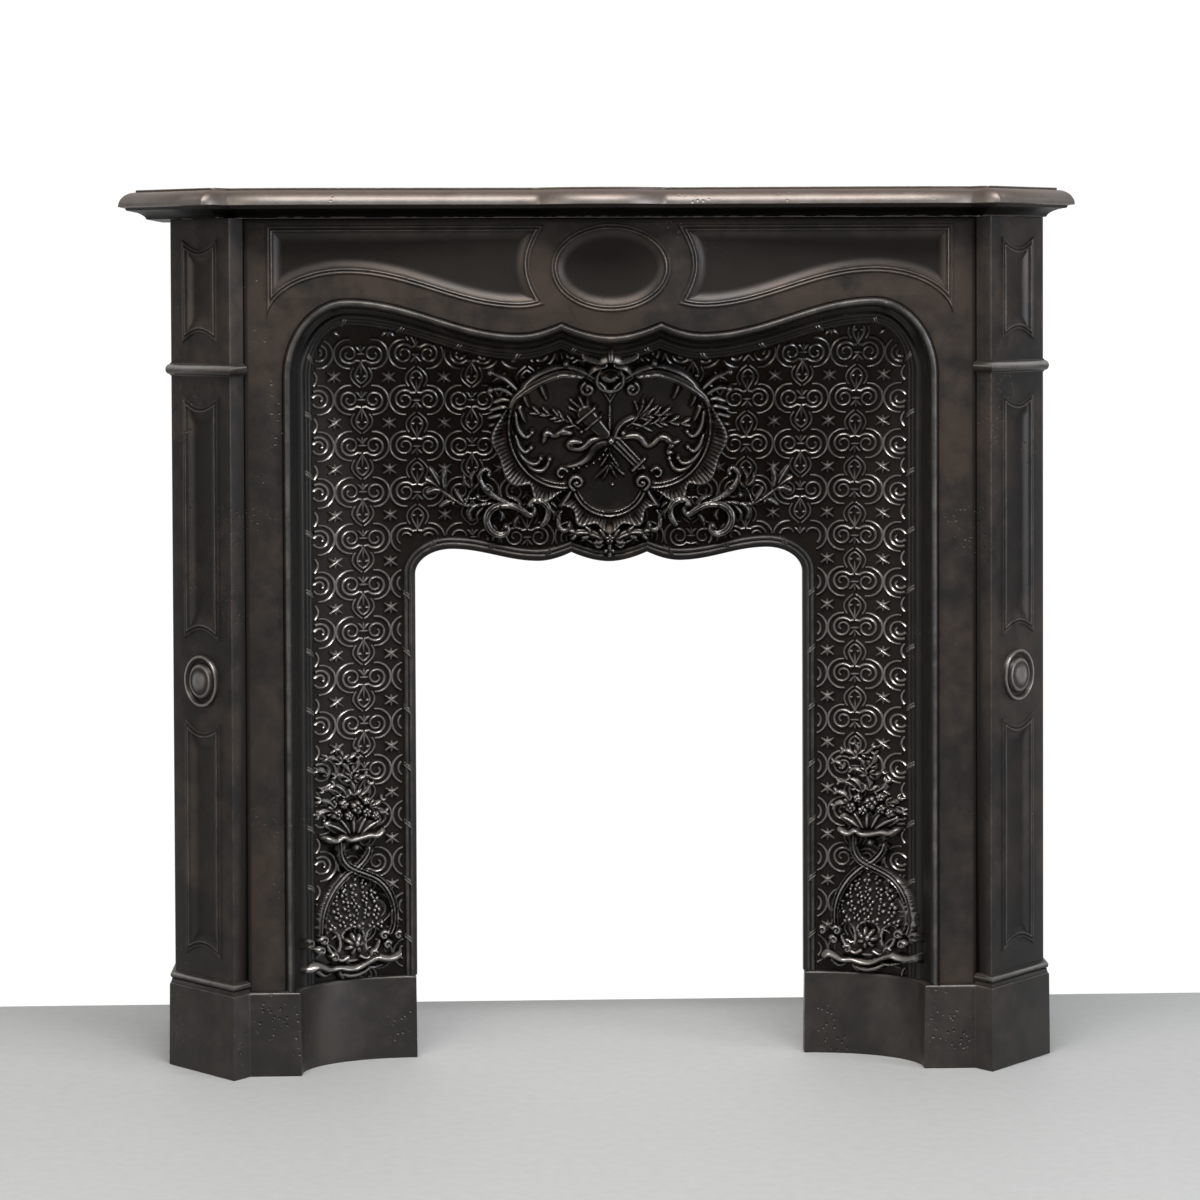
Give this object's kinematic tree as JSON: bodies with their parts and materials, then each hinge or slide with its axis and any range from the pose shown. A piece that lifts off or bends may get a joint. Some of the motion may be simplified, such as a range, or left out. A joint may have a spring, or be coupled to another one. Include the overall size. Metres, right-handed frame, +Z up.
{
  "type": "fireplace surround",
  "caption": "Cast-iron fireplace surround with a serpentine shelf, canted panelled pilasters, a frieze with an oval, and a coved arched insert with scrollwork and a cartouche.",
  "frame": {"origin": "on the floor, under the middle of the mantel shelf in plan", "axes": "+Z up, +X to the right of someone who faces the fire, +Y back into the chimney breast, so the front faces -Y"},
  "size_m": [1.1992, 0.345, 1.0991],
  "materials": {
    "polished_iron": "black stove polish, satin, rubbed brighter on the high points",
    "shelf_iron": "black stove polish worn to brown on the moulded edge"
  },
  "bodies": {
    "root": {"front_frame": "polished_iron", "insert": "polished_iron", "pilaster_left": "polished_iron", "pilaster_right": "polished_iron", "plinth_left": "polished_iron", "plinth_right": "polished_iron", "mantel_shelf": "shelf_iron"}
  },
  "joints": []
}
